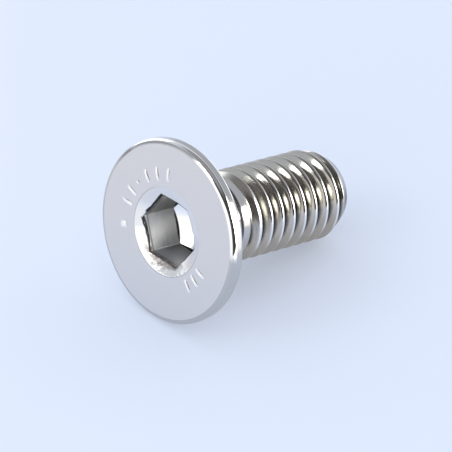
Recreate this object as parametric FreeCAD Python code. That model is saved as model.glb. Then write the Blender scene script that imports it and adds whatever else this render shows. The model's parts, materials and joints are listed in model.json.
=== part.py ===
import FreeCAD, Part
import math
import os

from FreeCAD import Placement, Rotation, Vector

os.makedirs("parts", exist_ok=True)

# Countersunk screw with a hexagon socket, M6 by 14, threaded from the tip up to a short neck.
# It is drawn upright on the Z axis, with its flat face at height 0 and its tip below, and is
# then laid down on the edge of its head and its last thread, the way it rests on a table.
# Lengths are in millimetres and angles in degrees. A turn is measured from the +X side, which
# becomes the upper side of the lying screw.

# Head
head_diameter = 11.8
edge_band_height = 0.8
face_edge_radius = 0.2
back_edge_radius = 0.12
countersink_angle = 90.0

# Hexagon socket
socket_across_flats = 4.0
socket_depth = 2.75
socket_mouth_diameter = 5.75
socket_mouth_angle = 140.0
socket_floor_angle = 120.0
socket_turn = 29.5

# Neck and shank
overall_length = 14.0
neck_diameter = 5.36
neck_length = 0.78
neck_fillet_radius = 0.3
tip_diameter = 4.5
tip_angle = 60.0

# Thread
thread_diameter = 5.9
thread_pitch = 1.0
thread_flank_angle = 60.0
thread_crest_flat = 0.18
thread_root_flat = 0.2
thread_start_angle = 60.0
thread_turn = 281.0
run_out_turns = 0.6
path_points_per_turn = 24

# Worked out from the sizes above
head_radius = head_diameter / 2
neck_radius = neck_diameter / 2
crest_radius = thread_diameter / 2
tip_radius = tip_diameter / 2
head_height = edge_band_height + (head_radius - neck_radius) / math.tan(math.radians(countersink_angle / 2))
neck_end = head_height + neck_length
full_thread_start = neck_end + (crest_radius - neck_radius) / math.tan(math.radians(thread_start_angle / 2))
taper_start = overall_length - (crest_radius - tip_radius) / math.tan(math.radians(tip_angle / 2))


def rounded_wire(corners):
    """A closed wire in the XZ plane through (radius, height, rounding) corners, with tangent arcs at them."""
    points = [Vector(radius, 0, height) for radius, height, rounding in corners]
    ends = []
    for i, (radius, height, rounding) in enumerate(corners):
        here = points[i]
        back = (points[i - 1] - here).normalize()
        ahead = (points[(i + 1) % len(points)] - here).normalize()
        half_corner = back.getAngle(ahead) / 2
        reach = rounding / math.tan(half_corner)
        middle = here + (back + ahead).normalize() * (rounding / math.sin(half_corner) - rounding)
        ends.append((here + back * reach, middle, here + ahead * reach))
    edges = []
    for i, (start, middle, end) in enumerate(ends):
        if corners[i][2] > 0:
            edges.append(Part.Arc(start, middle, end).toShape())
        edges.append(Part.LineSegment(end, ends[(i + 1) % len(ends)][0]).toShape())
    return Part.Wire(edges)


def turned_blank():
    """The head, the neck and a shank as wide as the thread, turned from one outline."""
    outline = [
        (0, 0, 0),
        (head_radius, 0, face_edge_radius),
        (head_radius, -edge_band_height, back_edge_radius),
        (neck_radius, -head_height, neck_fillet_radius),
        (neck_radius, -neck_end, 0),
        (crest_radius, -full_thread_start, 0),
        (crest_radius, -taper_start, 0),
        (tip_radius, -overall_length, 0),
        (0, -overall_length, 0),
    ]
    return Part.Face(rounded_wire(outline)).revolve(Vector(0, 0, 0), Vector(0, 0, 1), 360)


def hexagon_socket():
    """The space that the key goes into: a hexagon with a coned floor, under a shallow coned mouth."""
    corner_radius = socket_across_flats / math.sqrt(3)
    floor_drop = corner_radius / math.tan(math.radians(socket_floor_angle / 2))
    mouth_radius = socket_mouth_diameter / 2
    mouth_depth = mouth_radius / math.tan(math.radians(socket_mouth_angle / 2))
    hexagon = [Vector(corner_radius, 0, 0)]
    for i in range(6):
        hexagon.append(Rotation(Vector(0, 0, 1), 60).multVec(hexagon[i]))
    bore = Part.Face(Part.makePolygon(hexagon)).extrude(Vector(0, 0, -socket_depth - floor_drop))
    bore.rotate(Vector(0, 0, 0), Vector(0, 0, 1), socket_turn)
    punch = Part.makeCylinder(corner_radius, socket_depth, Vector(0, 0, -socket_depth))
    floor = Part.makeCone(0, corner_radius, floor_drop, Vector(0, 0, -socket_depth - floor_drop))
    mouth = Part.makeCone(0, mouth_radius, mouth_depth, Vector(0, 0, -mouth_depth))
    return bore.common(punch.fuse(floor)).fuse(mouth)


def groove_path(first_height, last_height, rise):
    """The groove's line round the crest cylinder, right-handed and with one edge for each turn. It is a
    helix up to last_height and then a run-out, in which it moves outwards by rise."""
    turns = (last_height - first_height) / thread_pitch
    steps = math.ceil((turns + run_out_turns) * path_points_per_turn)
    points = []
    for i in range(steps + 1):
        turned = (turns + run_out_turns) * i / steps
        height = first_height + thread_pitch * turned
        run_out = max(0.0, (turned - turns) / run_out_turns)
        angle = math.radians(thread_turn + 360 * height / thread_pitch)
        radius = crest_radius + rise * run_out**2
        points.append(Vector(radius * math.cos(angle), radius * math.sin(angle), height))
    whole = Part.BSplineCurve()
    whole.interpolate(points)
    knots = whole.getKnots()
    breaks = [*range(0, steps - path_points_per_turn // 2, path_points_per_turn), steps]
    edges = []
    for start, end in zip(breaks, breaks[1:]):
        turn = whole.copy()
        turn.segment(knots[start], knots[end])
        edges.append(turn.toShape())
    return Part.Wire(edges)


def thread_groove():
    """The groove between the crests, from past the tip up into the neck, where it runs out."""
    flank_slope = math.tan(math.radians(thread_flank_angle / 2))
    half_gap = (thread_pitch - thread_crest_flat) / 2
    half_root = thread_root_flat / 2
    depth = (half_gap - half_root) / flank_slope
    margin = thread_pitch / 10
    half_outer = half_gap + margin * flank_slope
    section = [
        Vector(margin, 0, -half_outer),
        Vector(-depth, 0, -half_root),
        Vector(-depth, 0, half_root),
        Vector(margin, 0, half_outer),
    ]
    path = groove_path(-overall_length - thread_pitch, -full_thread_start, depth + margin)
    start = path.Vertexes[0].Point
    profile = Part.makePolygon(section + section[:1])
    profile.Placement = Placement(start, Rotation(Vector(1, 0, 0), Vector(start.x, start.y, 0)))
    sweep = Part.BRepOffsetAPI.MakePipeShell(path)
    sweep.setBiNormalMode(Vector(0, 0, 1))
    sweep.add(profile, False, False)
    sweep.build()
    sweep.makeSolid()
    return Part.Solid(sweep.shape())


def resting_lean():
    """How far the tip drops, in degrees, when the back edge of the head and the last full crest on the
    under side both touch the table."""
    first_crest = thread_pitch * ((thread_turn - 180) / 360 - 0.5)
    turns_down = math.floor((taper_start + thread_crest_flat / 2 - first_crest) / thread_pitch)
    tip_touch = min(first_crest + thread_pitch * turns_down + thread_crest_flat / 2, taper_start)
    edge_turn = math.radians(90 - countersink_angle / 2)
    edge_depth = edge_band_height - back_edge_radius * math.tan(edge_turn / 2)
    along = tip_touch - edge_depth
    drop = head_radius - back_edge_radius - crest_radius
    return math.degrees(math.atan2(drop, along) + math.asin(back_edge_radius / math.hypot(drop, along)))


def laid_down(shape):
    """The shape turned on its side, with its tip towards +X, its lowest point at height 0 and the
    middle of its outline over the origin."""
    lying = shape.copy()
    lying.rotate(Vector(0, 0, 0), Vector(0, 1, 0), resting_lean() - 90)
    box = lying.optimalBoundingBox(False, False)
    lying.translate(Vector(-box.Center.x, -box.Center.y, -box.ZMin))
    return lying


screw = laid_down(turned_blank().cut(hexagon_socket()).cut(thread_groove()))
print(f"screw: {screw.Volume:.2f} cubic mm, lean {resting_lean():.2f} degrees, valid {screw.isValid()}")
screw.exportStep("parts/screw.step")
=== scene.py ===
import json
import math

import bmesh
import bpy
import numpy as np
from mathutils import Matrix, Vector


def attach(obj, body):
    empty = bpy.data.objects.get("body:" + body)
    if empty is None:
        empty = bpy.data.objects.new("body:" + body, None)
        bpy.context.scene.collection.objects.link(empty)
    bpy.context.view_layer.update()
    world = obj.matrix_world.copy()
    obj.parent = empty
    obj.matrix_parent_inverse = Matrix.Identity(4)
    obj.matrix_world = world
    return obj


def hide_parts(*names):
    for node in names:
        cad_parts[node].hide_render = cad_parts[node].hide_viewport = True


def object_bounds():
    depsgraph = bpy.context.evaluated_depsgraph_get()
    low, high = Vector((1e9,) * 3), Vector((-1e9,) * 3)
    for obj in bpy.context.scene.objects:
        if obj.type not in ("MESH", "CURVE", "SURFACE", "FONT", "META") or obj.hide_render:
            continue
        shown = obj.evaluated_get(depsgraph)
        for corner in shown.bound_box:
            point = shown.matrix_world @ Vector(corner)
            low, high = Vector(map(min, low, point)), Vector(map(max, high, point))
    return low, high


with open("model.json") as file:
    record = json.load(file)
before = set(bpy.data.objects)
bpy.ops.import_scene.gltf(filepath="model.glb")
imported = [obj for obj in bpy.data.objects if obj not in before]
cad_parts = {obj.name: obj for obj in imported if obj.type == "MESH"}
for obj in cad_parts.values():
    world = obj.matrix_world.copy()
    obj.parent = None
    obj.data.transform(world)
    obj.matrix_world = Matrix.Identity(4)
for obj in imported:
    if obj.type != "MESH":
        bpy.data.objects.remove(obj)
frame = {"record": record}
cad_low, cad_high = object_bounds()


# The screw's own frame
# The screw lies on the edge of its head and on its last crest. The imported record's two flat faces say
# where its axis runs: depth is measured along it from the flat face, and a turn from the upper side.
mounts = {mount["name"]: mount for mount in frame["record"]["mounts"]}
face_normal = np.array(mounts["head_face"]["axis"])
tip_centre = np.array(mounts["tip_end"]["pos_m"])
overall_length = (np.array(mounts["head_face"]["pos_m"]) - tip_centre) @ face_normal
face_centre = tip_centre + overall_length * face_normal
far_side = np.array([0.0, 1.0, 0.0])
upper_side = np.cross(far_side, face_normal)
lean = math.asin(face_normal[2])
mm = 0.001


def placed(radius, turn, depth):
    """Points in the shared frame: face centre + radius (cos turn, sin turn) in the face's plane - depth
    along the face's normal. Each argument is an array, and turn is in degrees."""
    angle = np.radians(turn)
    across = (radius * np.cos(angle))[..., None] * upper_side
    along = (radius * np.sin(angle))[..., None] * far_side
    return face_centre + across + along - depth[..., None] * face_normal


# The socket
# A punch leaves a hexagon for the key, with a coned floor as its tip was and with drawn, streaked
# walls. A shallow cone at the mouth leads the key in.
socket_across_flats = 4.0 * mm
socket_depth = 2.75 * mm
socket_floor_angle = 120.0
socket_mouth_diameter = 5.75 * mm
socket_mouth_angle = 140.0
socket_turn = 29.5
socket_corner_rounding = 0.09 * mm
socket_floor_rounding = 0.14 * mm
socket_lip_rounding = 0.18 * mm
socket_mouth_rounding = 0.5 * mm
columns_per_wall = 42
column_crowding = 0.8

# The columns of the screw's surface, in degrees, crowd towards the hexagon's corners: a share s of
# the way along a wall becomes s - crowding sin(2 pi s) / (2 pi).
even = np.arange(columns_per_wall) / columns_per_wall
wall_turns = 60 * (even - column_crowding * np.sin(2 * math.pi * even) / (2 * math.pi))
turns = (socket_turn + 60 * np.arange(6)[:, None] + wall_turns).ravel()


def hexagon_radius(turn):
    """Distance from the axis to the socket's wall. A flat is half the width across flats / cos(turn from
    its middle) away, and a corner is the far side of a small circle on the corner's line that touches
    both flats."""
    from_corner = np.radians((turn - socket_turn + 30) % 60 - 30)
    half_wall = math.radians(30)
    half_width = socket_across_flats / 2
    flat = half_width / np.cos(half_wall - np.abs(from_corner))
    middle = (half_width - socket_corner_rounding) / math.cos(half_wall)
    reach = math.atan2(socket_corner_rounding / 2, middle + socket_corner_rounding * math.cos(half_wall))
    inside = np.maximum(socket_corner_rounding**2 - (middle * np.sin(from_corner)) ** 2, 0)
    return np.where(np.abs(from_corner) < reach, middle * np.cos(from_corner) + np.sqrt(inside), flat)


wall_radius = hexagon_radius(turns)
corner_radius = socket_across_flats / math.sqrt(3)
floor_slope = 1 / math.tan(math.radians(socket_floor_angle / 2))
mouth_slope = 1 / math.tan(math.radians(socket_mouth_angle / 2))
mouth_radius = socket_mouth_diameter / 2

# Each corner of a section: its radius, depth and rounding, and the rows in its arc and on the line after it.
socket_corners = [
    (0, socket_depth + corner_radius * floor_slope, 0, 0, 5),
    (wall_radius, socket_depth + (corner_radius - wall_radius) * floor_slope, socket_floor_rounding, 6, 5),
    (wall_radius, (mouth_radius - wall_radius) * mouth_slope, socket_lip_rounding, 6, 2),
    (mouth_radius, 0, socket_mouth_rounding, 4, 2),
]


# The head
# The forged head is flat on the face and has a narrow band round its edge, with both edges of the
# band rounded. A 90 degree cone behind it sinks into the countersink and ends at the neck.
head_radius = 5.898 * mm
edge_band_height = 0.8 * mm
face_edge_rounding = 0.33 * mm
back_edge_rounding = 0.3 * mm
countersink_angle = 90.0
neck_radius = 2.68 * mm
neck_fillet = 0.3 * mm
thread_from = 4.4 * mm
line_hold = 0.01

head_height = edge_band_height + (head_radius - neck_radius) / math.tan(math.radians(countersink_angle / 2))
head_corners = [
    (head_radius, 0, face_edge_rounding, 14, 2),
    (head_radius, edge_band_height, back_edge_rounding, 7, 6),
    (neck_radius, head_height, neck_fillet, 6, 1),
    (neck_radius, thread_from, 0, 0, 0),
]


def rounded_rows(corners):
    """Rows of a surface whose section, at every turn, is straight lines through (radius, depth) corners.
    A corner of rounding c and half angle h becomes an arc that starts c / tan(h) before it and turns
    evenly about a centre c / sin(h) along the bisector. Each corner is (radius, depth, rounding, rows in
    its arc, rows on the line after it). Rows close to each end of a line keep its shading flat."""
    points = [np.stack([radius + 0 * turns, depth + 0 * turns], -1) for radius, depth, *_ in corners]
    arcs = [points[0][None]]
    for before, here, after, corner in zip(points, points[1:], points[2:], corners[1:]):
        rounding, arc_rows = corner[2:4]
        back = (before - here) / np.linalg.norm(before - here, axis=-1, keepdims=True)
        ahead = (after - here) / np.linalg.norm(after - here, axis=-1, keepdims=True)
        half = np.arccos(np.clip((back * ahead).sum(-1), -1, 1))[:, None] / 2
        start = here + back * rounding / np.tan(half)
        end = here + ahead * rounding / np.tan(half)
        centre = here + (back + ahead) / (2 * np.cos(half)) * rounding / np.sin(half)
        sweep = math.pi - 2 * half
        share = np.linspace(0, 1, arc_rows)[:, None, None]
        turned = np.sin((1 - share) * sweep) * (start - centre) + np.sin(share * sweep) * (end - centre)
        arcs.append(centre + turned / np.sin(sweep))
    arcs.append(points[-1][None])
    rows = []
    for arc, following, corner in zip(arcs, arcs[1:], corners):
        line_rows = corner[4]
        between = np.linspace(0, 1, line_rows + 2)[1:-1]
        shares = np.concatenate([[line_hold], between, [1 - line_hold]])[:, None, None]
        rows.append(arc)
        rows.append(arc[-1] + shares * (following[0] - arc[-1]))
    rows.append(arcs[-1])
    return np.concatenate(rows)


head_rows = rounded_rows(socket_corners + head_corners)


# The thread
# The thread is rolled, so that the steel is pressed into a groove and up into rounded crests. The
# groove is one right-hand helix, which runs out in the neck and is cut short by the tapered tip.
thread_pitch = 1.0 * mm
crest_radius = 2.95 * mm
crest_flat = 0.18 * mm
root_flat = 0.2 * mm
flank_angle = 60.0
thread_turn = 281.0
thread_start = 4.8 * mm
thread_start_angle = 60.0
run_out_turns = 0.6
run_out_margin = 0.1 * mm
tip_radius = 2.25 * mm
tip_angle = 60.0
tip_edge_rounding = 0.08 * mm
crest_rounding = 0.13 * mm
root_rounding = 0.16 * mm
taper_rounding = 0.05 * mm
root_rows = 3
flank_rows = 2
crest_rows = 6

flank_slope = 1 / math.tan(math.radians(flank_angle / 2))
half_gap = (thread_pitch - crest_flat) / 2
groove_depth = (half_gap - root_flat / 2) * flank_slope
start_slope = math.tan(math.radians(thread_start_angle / 2))
full_thread_start = thread_start + (crest_radius - neck_radius) / start_slope
tip_slope = math.tan(math.radians(tip_angle / 2))
taper_start = overall_length - (crest_radius - tip_radius) / tip_slope
thread_to = overall_length - 3 * tip_edge_rounding


def lower_of(a, b, reach):
    """The lower of a and b, rounded where they differ by less than reach: min(a, b) - (reach - |a - b|)^2
    / (4 reach)."""
    near = np.maximum(reach - np.abs(a - b), 0)
    return np.minimum(a, b) - near**2 / (4 * reach)


def thread_radius(turn, depth):
    """Distance from the axis to the threaded surface. The blank is a neck, a start cone, a cylinder and a
    tip cone. A groove rises at the flank's slope from a flat root, its middle is pitch (thread turn -
    turn) / 360 deep plus whole pitches, and over the run-out it moves outwards as the square of the way."""
    start_cone = neck_radius + (depth - thread_start) * start_slope
    blank = lower_of(-lower_of(-neck_radius, -start_cone, taper_rounding), crest_radius, taper_rounding)
    blank = lower_of(blank, crest_radius - (depth - taper_start) * tip_slope, taper_rounding)
    middle = thread_pitch * (thread_turn - turn) / 360
    middle = middle + thread_pitch * np.round((depth - middle) / thread_pitch)
    run_out = np.maximum(full_thread_start - middle, 0) / (run_out_turns * thread_pitch)
    root = crest_radius - groove_depth + (groove_depth + run_out_margin) * run_out**2
    flank = root + (np.abs(depth - middle) - root_flat / 2) * flank_slope
    groove = -lower_of(-root, -flank, root_rounding)
    return lower_of(blank, groove, crest_rounding)


flank_from = root_flat / 2 + root_rounding / flank_slope
flank_to = half_gap - crest_rounding / flank_slope
half_profile = np.concatenate([
    np.linspace(0, flank_from, root_rows + 1)[:-1],
    np.linspace(flank_from, flank_to, flank_rows + 1)[:-1],
    np.linspace(flank_to, thread_pitch / 2, crest_rows + 1),
])
profile = np.concatenate([-half_profile[:0:-1], half_profile[:-1]])
helix = thread_pitch * (thread_turn - turns) / 360
first_groove = math.floor((thread_from - helix[0]) / thread_pitch - 0.5)
last_groove = math.ceil((thread_to - helix[0]) / thread_pitch + 0.5)
grooves = np.arange(first_groove, last_groove + 1)
row_shift = (thread_pitch * grooves[:, None] + profile).reshape(-1, 1)
thread_depth = np.clip(helix + row_shift, thread_from, thread_to)
thread_rows = np.stack([thread_radius(turns, thread_depth), thread_depth], -1)
tip_rows = rounded_rows([
    (crest_radius - (thread_to - taper_start) * tip_slope, thread_to, 0, 0, 0),
    (tip_radius, overall_length, tip_edge_rounding, 5, 3),
    (0, overall_length, 0, 0, 0),
])


# The screw in one piece
# Socket, head, thread and tip are one skin of steel. A thread row starts one pitch further on each
# time that it comes round, so where it meets itself it joins the row one turn before.
columns = len(turns)


def faces_between_rows(first, count, seam_shift):
    """Quads between count rows, whose numbers start at first. Column by column they join the same rows,
    and at the seam they join the last column to the first one, seam_shift rows before."""
    row = first + np.arange(count - 1)
    column = np.arange(columns - 1)
    corner = row[:, None] * columns + column
    plain = np.stack([corner, corner + columns, corner + columns + 1, corner + 1], -1).reshape(-1, 4)
    row = row[seam_shift:]
    last = row * columns + columns - 1
    start = (row - seam_shift) * columns
    seam = np.stack([last, last + columns, start + columns, start], -1)
    return np.concatenate([plain, seam])


all_rows = np.concatenate([head_rows, thread_rows, tip_rows])
vertices = placed(all_rows[..., 0], turns, all_rows[..., 1]).reshape(-1, 3)
faces = np.concatenate([
    faces_between_rows(0, len(head_rows), 0),
    faces_between_rows(len(head_rows), len(thread_rows), len(profile)),
    faces_between_rows(len(head_rows) + len(thread_rows), len(tip_rows), 0),
])


def closed_mesh(name, points, quads):
    """A smooth mesh of these points and quads, with points that coincide merged and empty faces taken out."""
    mesh = bpy.data.meshes.new(name)
    mesh.from_pydata(points.tolist(), [], quads.tolist())
    shape = bmesh.new()
    shape.from_mesh(mesh)
    same_place = 1e-4 * mm
    bmesh.ops.remove_doubles(shape, verts=shape.verts, dist=same_place)
    bmesh.ops.dissolve_degenerate(shape, edges=shape.edges, dist=same_place)
    for face in shape.faces:
        face.smooth = True
    shape.to_mesh(mesh)
    shape.free()
    return mesh


screw = bpy.data.objects.new("steel_screw", closed_mesh("steel_screw", vertices, faces))
bpy.context.scene.collection.objects.link(screw)


class Term:
    """A number or a vector in a shader, as a socket that takes part in Python sums."""

    def __init__(self, finish, socket):
        self.finish = finish
        self.socket = socket

    def __add__(self, other):
        return self.finish.math("ADD", self, other)

    def __sub__(self, other):
        return self.finish.math("SUBTRACT", self, other)

    def __rsub__(self, other):
        return self.finish.math("SUBTRACT", other, self)

    def __mul__(self, other):
        return self.finish.math("MULTIPLY", self, other)

    __radd__ = __add__
    __rmul__ = __mul__


class Finish:
    """The nodes of one material or of the room's light. Every node comes from add."""

    def __init__(self, tree):
        self.tree = tree

    def add(self, kind, settings, values, output=0):
        """A node of this kind, with its settings made first and then its sockets given values or links."""
        node = self.tree.nodes.new(kind)
        for name, value in settings.items():
            setattr(node, name, value)
        for key, value in values.items():
            if isinstance(value, Term):
                self.tree.links.new(value.socket, node.inputs[key])
            else:
                node.inputs[key].default_value = value
        return Term(self, node.outputs[output])

    def math(self, operation, *values):
        """A Math node with these values or links on its sockets in turn."""
        return self.add("ShaderNodeMath", {"operation": operation}, dict(enumerate(values)))

    def own_place(self):
        """Object coordinates in millimetres in the screw's own frame: X to its upper side, Y to its far
        side and Z out of its face."""
        to_own = Matrix.Rotation(math.radians(90) - lean, 3, "Y")
        sockets = {
            "Vector": self.add("ShaderNodeTexCoord", {}, {}, "Object"),
            "Location": -(to_own @ Vector(face_centre / mm)),
            "Rotation": to_own.to_euler(),
            "Scale": (1 / mm, 1 / mm, 1 / mm),
        }
        return self.add("ShaderNodeMapping", {"vector_type": "POINT"}, sockets)

    def parts(self, vector):
        """The X, Y and Z of a vector, each as a number."""
        split = self.add("ShaderNodeSeparateXYZ", {}, {"Vector": vector})
        return [Term(self, socket) for socket in split.socket.node.outputs]

    def vector(self, x, y, z):
        return self.add("ShaderNodeCombineXYZ", {}, {"X": x, "Y": y, "Z": z})

    def length(self, vector):
        return self.add("ShaderNodeVectorMath", {"operation": "LENGTH"}, {0: vector}, "Value")

    def noise(self, place, scale, detail=2.0):
        """Fractal noise from 0 to 1 whose lumps are 1 / scale wide."""
        return self.add("ShaderNodeTexNoise", {}, {"Vector": place, "Scale": scale, "Detail": detail}, "Fac")

    def hexagon(self, x, y, turn):
        """Distance from a hexagon's middle along the nearest flat's normal: the most of |x cos a + y sin a|
        over the three directions a of its flats. Its corners stand at turn plus whole sixths."""
        most = 0.0
        for i in range(3):
            a = math.radians(turn + 30 + 60 * i)
            out = x * math.cos(a) + y * math.sin(a)
            most = self.math("MAXIMUM", self.math("ABSOLUTE", out), most)
        return most

    def ramp(self, value, low, high, start=0.0, end=1.0):
        """start up to low, end from high on, and a smooth change between them."""
        sockets = {"Value": value, "From Min": low, "From Max": high, "To Min": start, "To Max": end}
        return self.add("ShaderNodeMapRange", {"interpolation_type": "SMOOTHSTEP"}, sockets)

    def fall(self, value, low, high):
        """1 up to low, 0 from high on, and a smooth change between them."""
        return self.ramp(value, low, high, 1.0, 0.0)

    def within(self, value, low, full_low, full_high, high):
        """1 from full_low to full_high, 0 below low and above high, and smooth changes between them."""
        return self.ramp(value, low, full_low) * self.fall(value, full_high, high)

    def blend(self, share, first, second):
        """A colour between first, at share 0, and second, at share 1."""
        return self.add("ShaderNodeMix", {"data_type": "RGBA"}, {0: share, 6: first, 7: second}, 2)


def surface(name, **constants):
    """A material with these constants on its shader: (the material, its nodes, the shader's sockets)."""
    material = bpy.data.materials.new(name)
    material.use_nodes = True
    shader = material.node_tree.nodes["Principled BSDF"]
    for socket, value in constants.items():
        shader.inputs[socket.replace("_", " ")].default_value = value
    return material, Finish(material.node_tree), shader.inputs


def join(finish, sockets, **values):
    """Feeds what changes over the surface into the shader's sockets."""
    for socket, value in values.items():
        finish.tree.links.new(value.socket, sockets[socket.replace("_", " ")])


face_steel = (0.70, 0.695, 0.71, 1)
band_steel = (0.55, 0.54, 0.53, 1)
mouth_steel = (0.90, 0.89, 0.87, 1)
wall_steel = (0.58, 0.575, 0.565, 1)
light_wall_steel = (0.82, 0.82, 0.80, 1)
polished_and_highlight_steel = (0.95, 0.95, 0.95, 1)
thread_steel = (0.56, 0.545, 0.505, 1)
shaded_thread_steel = (0.54, 0.485, 0.41, 1)
crest_highlight_steel = (0.86, 0.86, 0.87, 1)
mouth_brown = (0.34, 0.28, 0.25, 1)
painted_shade_steel = (0.05, 0.05, 0.055, 1)
polish = 0.08
relief = 0.0012 * mm

steel, finish, sockets = surface("stainless_steel", Metallic=1.0)
own = finish.own_place()
x, y, z = finish.parts(own)
radius = finish.length(finish.vector(x, y, 0.0))

# The places that have a finish of their own, from the face to the thread. The shader's lengths are all
# in millimetres, and each pair of numbers is where a place begins or ends.
on_face = finish.within(radius, 2.83, 2.9, 5.55, 5.59) * finish.ramp(z, -0.05, -0.01)
inside = finish.fall(radius, 2.84, 2.9) * finish.ramp(z, -4.25, -4.15)
in_mouth = inside * finish.ramp(z, -0.42, -0.34)
in_socket = inside * finish.fall(z, -0.42, -0.34)
on_floor = in_socket * finish.fall(z, -2.85, -2.7)
on_walls = in_socket - on_floor
on_thread = finish.fall(z, -4.9, -4.5)

# A painted highlight brightens the head's edge along its upper side, and its back edge on the near side.
# Towards the far side the edge is darkened with painted shade. Painted shade draws a faint line along the
# mouth's edge.
painted_edge_highlight = finish.ramp(radius, 5.55, 5.6) * finish.ramp(z, -0.36, -0.3) * finish.ramp(x - 0.3 * y, 2.3, 2.9)
painted_back_edge_highlight = finish.ramp(radius, 5.7, 5.75) * finish.within(z, -0.96, -0.92, -0.78, -0.72)
painted_back_edge_highlight = painted_back_edge_highlight * finish.ramp(x, 3.8, 4.3) * finish.fall(y, -1.7, -1.2)
painted_edge_shade = finish.within(radius, 5.56, 5.6, 5.72, 5.8) * finish.ramp(z, -0.2, -0.1)
painted_edge_shade = painted_edge_shade * finish.ramp(y, -1.45, -0.75) * finish.ramp(x, 2.0, 3.5)
painted_mouth_edge_shade = finish.within(radius, 2.82, 2.86, 2.88, 2.92) * finish.ramp(z, -0.1, -0.08)
painted_mouth_edge_shade = painted_mouth_edge_shade * finish.ramp(x - 0.5 * y, 0.9, 2.0, 0.3, 0.0)

# Painted highlight brightens the crests and painted shade darkens the roots, both fainter on the upper
# side. Painted shade darkens the crests on the far side.
painted_crest_highlight = on_thread * finish.ramp(radius, 2.9, 2.94)
painted_crest_highlight = painted_crest_highlight * finish.ramp(x, -1.4, -0.4) * finish.ramp(x, 1.8, 2.8, 1.0, 0.1)
painted_far_crest_shade = on_thread * finish.ramp(radius, 2.86, 2.92) * finish.ramp(y, 0.3, 1.2, 0.0, 0.75)
root = on_thread * finish.fall(radius, 2.48, 2.68)
root = root * finish.ramp(x, -1.3, -0.5) * finish.ramp(x, 0.5, 1.7, 1.0, 0.1)

# Painted shade draws dark lines along the walls' upper edge, the floor's edge and the lip, with a ragged
# one at its left flat. The mouth is browner and darker to its lower and near sides, a little at its top.
ragged = finish.noise(own, 3.0)
wall_line = finish.hexagon(x, y, socket_turn)
painted_wall_edge_shade = inside * finish.ramp(wall_line, 1.9, 1.95) * finish.within(z, -0.58, -0.54, -0.5, -0.46)
painted_floor_corner_shade = on_floor * finish.ramp(wall_line, 1.92, 1.96)
left_flat = math.radians(socket_turn + 90)
out = x * math.cos(left_flat) + y * math.sin(left_flat) - 0.1 * ragged
along = x * math.sin(left_flat) - y * math.cos(left_flat)
painted_left_flat_shade = in_mouth * finish.ramp(out, 1.99, 2.02) * finish.fall(out - 0.08 * along, 2.05, 2.1)
painted_left_flat_shade = painted_left_flat_shade * finish.fall(along, 1.0, 1.15)
painted_lip_shade = in_mouth * finish.ramp(wall_line, 1.95, 2.0) * finish.fall(wall_line - 0.1 * ragged, 2.04, 2.08)
painted_lip_shade = painted_lip_shade * finish.fall(out, 1.6, 1.8) * finish.ramp(x, -1.4, -1.0, 0.5, 1.0)
low_mouth_darkening = finish.ramp(x, -2.0, -1.5, 0.7, 0.0) * finish.fall(radius + 0.3 * ragged, 2.5, 2.7)
near_mouth_darkening = finish.ramp(y, -2.3, -1.5, 0.35, 0.0) * finish.within(x, -1.8, -1.2, 0.4, 1.2)
top_mouth_darkening = finish.ramp(x, 0.4, 1.2, 0.0, 0.2)
mouth_darkening = in_mouth * (low_mouth_darkening + near_mouth_darkening + top_mouth_darkening)

# A fine grain covers the face, streaks run down the walls, and ripples run round the thread. The face
# is satin, the walls are duller in streaks, and the rest is polished.
grain = finish.noise(own, 14.0)
cloud = finish.noise(own, 0.9)
streaks = finish.noise(finish.vector(x * 0.2, y * 0.2, z), 3.0, 3.0)
ripple = finish.noise(finish.vector(radius * 6.0, z * 6.0, x * 0.15 + y * 0.15), 1.0)
dents = in_mouth * finish.noise(own, 3.2, 1.0) * finish.ramp(x, -1.9, -1.2, 30.0, 1.0)
height = on_face * grain * 0.6 + in_socket * streaks * 2.0 + on_thread * ripple + dents + grain * 0.1
bump = finish.add("ShaderNodeBump", {}, {"Height": height, "Strength": 1.0, "Distance": relief})
satin = on_face * (0.32 + 0.1 * cloud) + on_floor * 0.08 + on_walls * (0.2 + 0.25 * streaks)
rolled = on_thread * (0.05 + 0.08 * cloud + finish.ramp(z, -7.2, -5.6, 0.0, 0.1))
roughness = polish + satin + rolled

# Streaks vary the walls' tone, and painted shade makes them darker deeper in the socket and lighter towards
# the mouth.
streaks_and_depth_shade = 1.2 * streaks - 0.55 + finish.ramp(z, -2.6, -0.4, 0.0, 0.55)
streaked_walls_with_painted_shade = finish.blend(streaks_and_depth_shade, wall_steel, light_wall_steel)
# Lit and shaded copies of the thread's steel: painted shade makes the under side darker and browner.
thread_steel_with_painted_shade = finish.blend(finish.ramp(x, -0.8, 1.2), shaded_thread_steel, thread_steel)
# The floor is polished steel; on the head's edges this brightness is painted highlight.
bright = on_floor + painted_edge_highlight + painted_back_edge_highlight
# All that is darkened here is painted shade.
painted_shade = painted_left_flat_shade + painted_wall_edge_shade * 0.7 + painted_lip_shade + painted_floor_corner_shade + root + painted_far_crest_shade + painted_mouth_edge_shade + painted_edge_shade * 0.55
layers = [
    (in_mouth, mouth_steel),
    (mouth_darkening, mouth_brown),
    (in_socket, streaked_walls_with_painted_shade),
    (bright, polished_and_highlight_steel),
    (on_thread, thread_steel_with_painted_shade),
    (painted_crest_highlight, crest_highlight_steel),
    (on_face, face_steel),
    (painted_shade, painted_shade_steel),
]
base = band_steel
for place, colour in layers:
    base = finish.blend(place, base, colour)
join(finish, sockets, Base_Color=base, Roughness=roughness, Normal=bump)
screw.data.materials.append(steel)
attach(screw, "root")
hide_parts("screw")


# The raised marks
# The forging die leaves small raised marks on the face, between the socket and the edge. These are
# plain bars and pips, and stand a few hundredths of a millimetre proud.
mark_height = 0.08 * mm
mark_root = 0.02 * mm
mark_squareness = 0.6
mark_crown = 2.5
bar = (0.5, 0.15)
dot = (0.16, 0.15)
pip = (0.28, 0.26)
mark_rings = 9
mark_columns = 28

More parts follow.
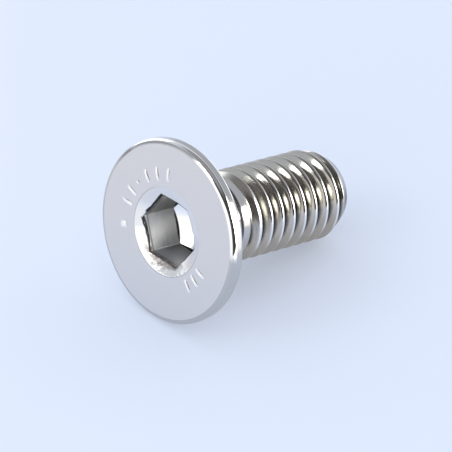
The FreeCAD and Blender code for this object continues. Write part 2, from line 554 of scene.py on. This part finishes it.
# The distance out, the turn and the half sizes of each mark, in millimetres and degrees.
marks = [
    (3.7, 12, bar),
    (3.7, 27, bar),
    (3.7, 42, bar),
    (3.7, 57, dot),
    (3.7, 70, bar),
    (3.7, 84, bar),
    (3.8, 108, pip),
    (3.6, -110, bar),
    (3.6, -122, bar),
    (3.6, -134, bar),
]


def mark_points(middle, turn, half_sizes):
    """A pillow over a rounded oblong: its outline is (cos a, sin a), each to the power of squareness,
    times its half sizes, and at share s of the way out it is (1 - s^crown) of its height. It closes
    below the face."""
    share = np.linspace(0, 1, mark_rings)[:, None]
    angle = np.linspace(0, 2 * math.pi, mark_columns, endpoint=False)
    out = np.sign(np.cos(angle)) * np.abs(np.cos(angle)) ** mark_squareness * half_sizes[0] * mm
    aside = np.sign(np.sin(angle)) * np.abs(np.sin(angle)) ** mark_squareness * half_sizes[1] * mm
    rise = (mark_height + mark_root) * (1 - share**mark_crown) - mark_root
    centre = np.zeros((1, mark_columns))
    out = np.concatenate([share * out, centre])
    aside = np.concatenate([share * aside, centre])
    depth = np.concatenate([-rise + 0 * angle, centre + mark_root])
    mark_radius = np.hypot(middle * mm + out, aside)
    mark_turn = turn + np.degrees(np.arctan2(aside, middle * mm + out))
    return placed(mark_radius, mark_turn, depth).reshape(-1, 3)


mark_row = np.arange(mark_rings)[:, None] * mark_columns
mark_column = np.arange(mark_columns)
mark_next = (mark_column + 1) % mark_columns
mark_faces = np.stack([
    mark_row + mark_column,
    mark_row + mark_columns + mark_column,
    mark_row + mark_columns + mark_next,
    mark_row + mark_next,
], -1).reshape(-1, 4)
points = [mark_points(*mark) for mark in marks]
quads = [mark_faces + i * len(points[0]) for i in range(len(marks))]
mark_mesh = closed_mesh("raised_marks", np.concatenate(points), np.concatenate(quads))
raised_marks = bpy.data.objects.new("raised_marks", mark_mesh)
bpy.context.scene.collection.objects.link(raised_marks)

mark_white = (0.98, 0.98, 0.98, 1)
mark_steel, finish, sockets = surface("raised_mark_steel", Metallic=1.0)
worn = finish.noise(finish.own_place(), 6.0)
join(finish, sockets, Base_Color=finish.blend(worn, polished_and_highlight_steel, mark_white), Roughness=0.35 + 0.12 * worn)
raised_marks.data.materials.append(mark_steel)
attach(raised_marks, "root")


# The table
# A pale, faintly blue sheet lies under the screw, whiter further out, with a white card beyond it on
# the camera's right. It glows softly, so that shadows stay faint. It isn't part of the screw.
table_half = 400 * mm
camera_right = (0.72, -0.69)
sheet_blue = (0.38, 0.43, 0.54, 1)
sheet_grey = (0.43, 0.45, 0.49, 1)
card_white = (0.85, 0.85, 0.85, 1)
blue_glow = (0.72, 0.78, 0.90, 1)
grey_glow = (0.88, 0.91, 0.98, 1)
card_glow = (1.6, 1.6, 1.6, 1)

table_mesh = bpy.data.meshes.new("table")
table_corners = [(i * table_half, j * table_half, 0) for i, j in [(-1, -1), (1, -1), (1, 1), (-1, 1)]]
table_mesh.from_pydata(table_corners, [], [(0, 1, 2, 3)])
table = bpy.data.objects.new("table", table_mesh)
bpy.context.scene.collection.objects.link(table)
paper, finish, sockets = surface("paper", Roughness=0.9, Emission_Strength=0.42)
x, y, _ = finish.parts(finish.add("ShaderNodeTexCoord", {}, {}, "Object"))
rightwards = x * camera_right[0] + y * camera_right[1]
outside = finish.ramp(finish.math("ABSOLUTE", rightwards), 13 * mm, 26 * mm)
on_card = finish.ramp(rightwards, 20 * mm, 32 * mm)
tone = finish.blend(on_card, finish.blend(outside, sheet_blue, sheet_grey), card_white)
glow = finish.blend(on_card, finish.blend(outside, blue_glow, grey_glow), card_glow)
join(finish, sockets, Base_Color=tone, Emission_Color=glow)
table.data.materials.append(paper)


# The light
# A wide ceiling and a fill from the left light the table. A window, two white panels and the room show in
# the steel: dark round the camera, grey past the screw and overhead, white low before face and tip.
lamp_distance = 0.5
daylight = (1.0, 0.99, 0.97)
warm_white = (1.0, 0.97, 0.93)
cool_white = (0.97, 0.98, 1.0)
plain_white = (1.0, 1.0, 1.0)
dark_room = (0.055, 0.055, 0.057, 1)
grey_room = (0.63, 0.665, 0.72, 1)
overhead_grey = (0.30, 0.29, 0.30, 1)
warm_wall = (1.15, 1.12, 1.06, 1)
cool_wall = (1.2, 1.2, 1.22, 1)


def panel(name, azimuth, elevation, size, radiance, colour):
    """A soft light that faces the screw from a direction in degrees, as bright as radiance from any side.
    Its size is its width and height in metres."""
    light = bpy.data.lights.new(name, "AREA")
    light.shape = "RECTANGLE"
    width, height = size
    light.size = width
    light.size_y = height
    light.energy = radiance * width * height * math.pi
    light.color = colour
    lamp = bpy.data.objects.new(name, light)
    a = math.radians(azimuth)
    e = math.radians(elevation)
    direction = Vector((math.cos(a) * math.cos(e), math.sin(a) * math.cos(e), math.sin(e)))
    lamp.location = Vector((cad_low + cad_high) / 2) + lamp_distance * direction
    lamp.rotation_euler = direction.to_track_quat("Z", "Y").to_euler()
    bpy.context.scene.collection.objects.link(lamp)
    return lamp


ceiling = panel("ceiling", 112, 77, (1.5, 1.5), 0.88, plain_white)
ceiling.visible_glossy = False
left_fill = panel("left_fill", 205, 18, (0.6, 0.3), 1.3, plain_white)
left_fill.visible_glossy = False
panel("window", 162, 39, (0.15, 0.11), 5.0, daylight)
side_panel = panel("side_panel", -54, 18, (0.38, 0.32), 8.0, warm_white)
side_panel.visible_diffuse = False
back_panel = panel("back_panel", 81, 13, (0.28, 0.38), 1.4, cool_white)
back_panel.visible_diffuse = False

# The room, by direction: X past the tip, Y to the far side and Z up.
room = bpy.data.worlds.new("room")
bpy.context.scene.world = room
room.use_nodes = True
finish = Finish(room.node_tree)
x, y, z = finish.parts(finish.add("ShaderNodeTexCoord", {}, {}, "Generated"))
lit_side = (finish.ramp(y, 0.1, 0.45) + finish.ramp(x, 0.5, 0.75)) * finish.ramp(z, 0.62, 0.9, 1.0, 0.3)
overhead = finish.ramp(z, 0.78, 0.97)
facing = finish.fall(z + 0.3 * finish.ramp(y, 0.38, 0.55), 0.54, 0.62)
facing = facing * finish.fall(x, -0.8, -0.65) * finish.ramp(y, -0.6, -0.42)
past_tip = finish.fall(z, 0.14, 0.24) * finish.ramp(x, 0.82, 0.92)
near_white = finish.blend(finish.ramp(y, -0.2, 0.05), warm_wall, cool_wall)
shade = finish.blend(finish.math("MINIMUM", lit_side, 1.0), dark_room, grey_room)
shade = finish.blend(overhead, shade, overhead_grey)
shade = finish.blend(facing + past_tip, shade, near_white)
room.node_tree.links.new(shade.socket, room.node_tree.nodes["Background"].inputs["Color"])


# The camera
# A long lens looks down at the face and along the shank from a quarter of a metre away. Its direction
# is in degrees from the near side and above the table, and it is rolled by less than a degree.
picture_side = 452
focal_pixels = 4042
sensor_width = 36.0
camera_azimuth = -43.65
camera_elevation = 35.95
camera_roll = 0.79
camera_distance = 250.67 * mm
camera_aim = Vector((-3.516, -2.381, 6.267)) * mm

camera_data = bpy.data.cameras.new("camera")
camera_data.sensor_width = sensor_width
camera_data.lens = sensor_width * focal_pixels / picture_side
camera_data.clip_start = 10 * mm
camera = bpy.data.objects.new("camera", camera_data)
a = math.radians(camera_azimuth)
e = math.radians(camera_elevation)
backwards = Vector((math.sin(a) * math.cos(e), -math.cos(a) * math.cos(e), math.sin(e)))
camera.location = camera_aim + camera_distance * backwards
upright = backwards.to_track_quat("Z", "Y").to_matrix()
roll = Matrix.Rotation(math.radians(camera_roll), 3, "Z")
camera.rotation_euler = (upright @ roll).to_euler()
bpy.context.scene.collection.objects.link(camera)
bpy.context.scene.camera = camera
bpy.context.scene.view_settings.view_transform = "Standard"
